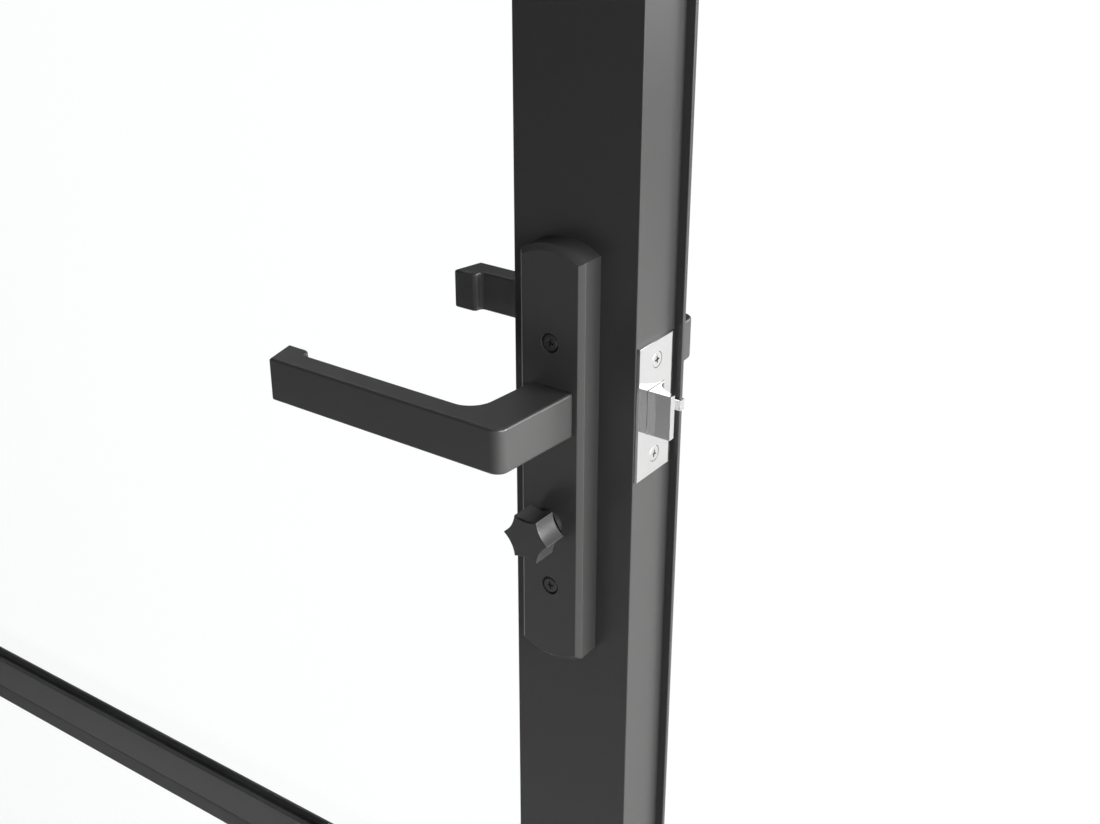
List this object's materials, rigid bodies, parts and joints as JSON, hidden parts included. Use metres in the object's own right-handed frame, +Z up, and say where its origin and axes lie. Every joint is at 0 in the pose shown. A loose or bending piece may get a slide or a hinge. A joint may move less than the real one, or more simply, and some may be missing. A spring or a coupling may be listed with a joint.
{
  "type": "glass door",
  "caption": "Hinged glazed aluminium door in its frame, with lever handles on both faces, a spring latch and a star-shaped turn knob.",
  "frame": {"origin": "middle of the underside of the threshold, in the plane of the closed leaf's front face", "axes": "+Z up, X along the wall towards the lock jamb, -Y towards the side that the leaf opens to; the leaf stands open at 150 degrees at rest"},
  "size_m": [1.6396, 0.5564, 2.1155],
  "materials": {
    "frame_paint": "satin powder coat",
    "threshold_metal": "satin powder coat",
    "leaf_paint": "satin powder coat",
    "hardware_paint": "satin powder coat",
    "screw_black": "black oxide",
    "latch_steel": "polished",
    "zinc_steel": "zinc plated",
    "clear_glass": "clear",
    "black_rubber": "matte",
    "nylon": "moulded"
  },
  "bodies": {
    "frame": {"hinge_jamb": "frame_paint", "lock_jamb": "frame_paint", "head": "frame_paint", "threshold": "threshold_metal", "frame_corner_keys": "zinc_steel", "threshold_screws": "zinc_steel", "hinge_side_seal": "black_rubber", "lock_side_seal": "black_rubber", "head_seal": "black_rubber", "strike_plate": "latch_steel", "strike_screws": "latch_steel", "lower_hinge_frame_leaf": "hardware_paint", "middle_hinge_frame_leaf": "hardware_paint", "upper_hinge_frame_leaf": "hardware_paint", "lower_hinge_pin": "zinc_steel", "middle_hinge_pin": "zinc_steel", "upper_hinge_pin": "zinc_steel", "hinge_frame_screws": "zinc_steel"},
    "leaf": {"lock_stile": "leaf_paint", "hinge_stile": "leaf_paint", "top_rail": "leaf_paint", "bottom_rail": "leaf_paint", "glazing_bar": "leaf_paint", "leaf_corner_keys": "zinc_steel", "glazing_bar_screws": "zinc_steel", "upper_glass": "clear_glass", "lower_glass": "clear_glass", "upper_gasket": "black_rubber", "lower_gasket": "black_rubber", "bottom_sweep": "black_rubber", "lower_hinge_door_leaf": "hardware_paint", "middle_hinge_door_leaf": "hardware_paint", "upper_hinge_door_leaf": "hardware_paint", "hinge_door_screws": "zinc_steel", "inside_plate": "hardware_paint", "outside_plate": "hardware_paint", "plate_screws": "screw_black", "lever_bushes": "nylon", "lever_springs": "zinc_steel", "key_cylinder": "hardware_paint", "latch_faceplate": "latch_steel", "faceplate_screws": "latch_steel", "latch_case": "zinc_steel", "hub_spring": "zinc_steel"},
    "handle": {"inside_lever": "hardware_paint", "outside_lever": "hardware_paint", "spindle": "zinc_steel", "lever_grub_screws": "screw_black", "latch_hub": "zinc_steel"},
    "turn": {"turn_knob": "hardware_paint", "turn_bar": "zinc_steel", "key_plug": "zinc_steel"},
    "latch_bolt": {"latch_bolt": "latch_steel"},
    "deadlatch": {"deadlatch_plunger": "latch_steel"}
  },
  "joints": [
    {"name": "door_swing", "type": "hinge", "parent": "frame", "child": "leaf", "pos_m": [-0.42775, -0.008, 1.045], "axis": [0, 0, 1], "range_deg": [-20, 150]},
    {"name": "lever_turn", "type": "hinge", "parent": "leaf", "child": "handle", "pos_m": [-1.12747, -0.43854, 1], "axis": [-0.5, 0.866, 0], "range_deg": [0, 45], "stiffness_Nm_per_rad": 1.2, "springref_deg": -34.38},
    {"name": "latch_slide", "type": "slide", "parent": "leaf", "child": "latch_bolt", "axis": [0.866, 0.5, 0], "range_m": [0, 0.0103]},
    {"name": "turn_spin", "type": "hinge", "parent": "leaf", "child": "turn", "pos_m": [-1.12747, -0.43854, 0.949], "axis": [-0.5, 0.866, 0], "range_deg": [0, 90]},
    {"name": "deadlatch_slide", "type": "slide", "parent": "leaf", "child": "deadlatch", "axis": [0.866, 0.5, 0], "range_m": [0, 0.008], "stiffness_N_per_m": 150, "springref_m": -0.006}
  ],
  "couplings": [
    {"joint": "latch_slide", "follows": "lever_turn", "m_per_rad": 0.012987}
  ]
}
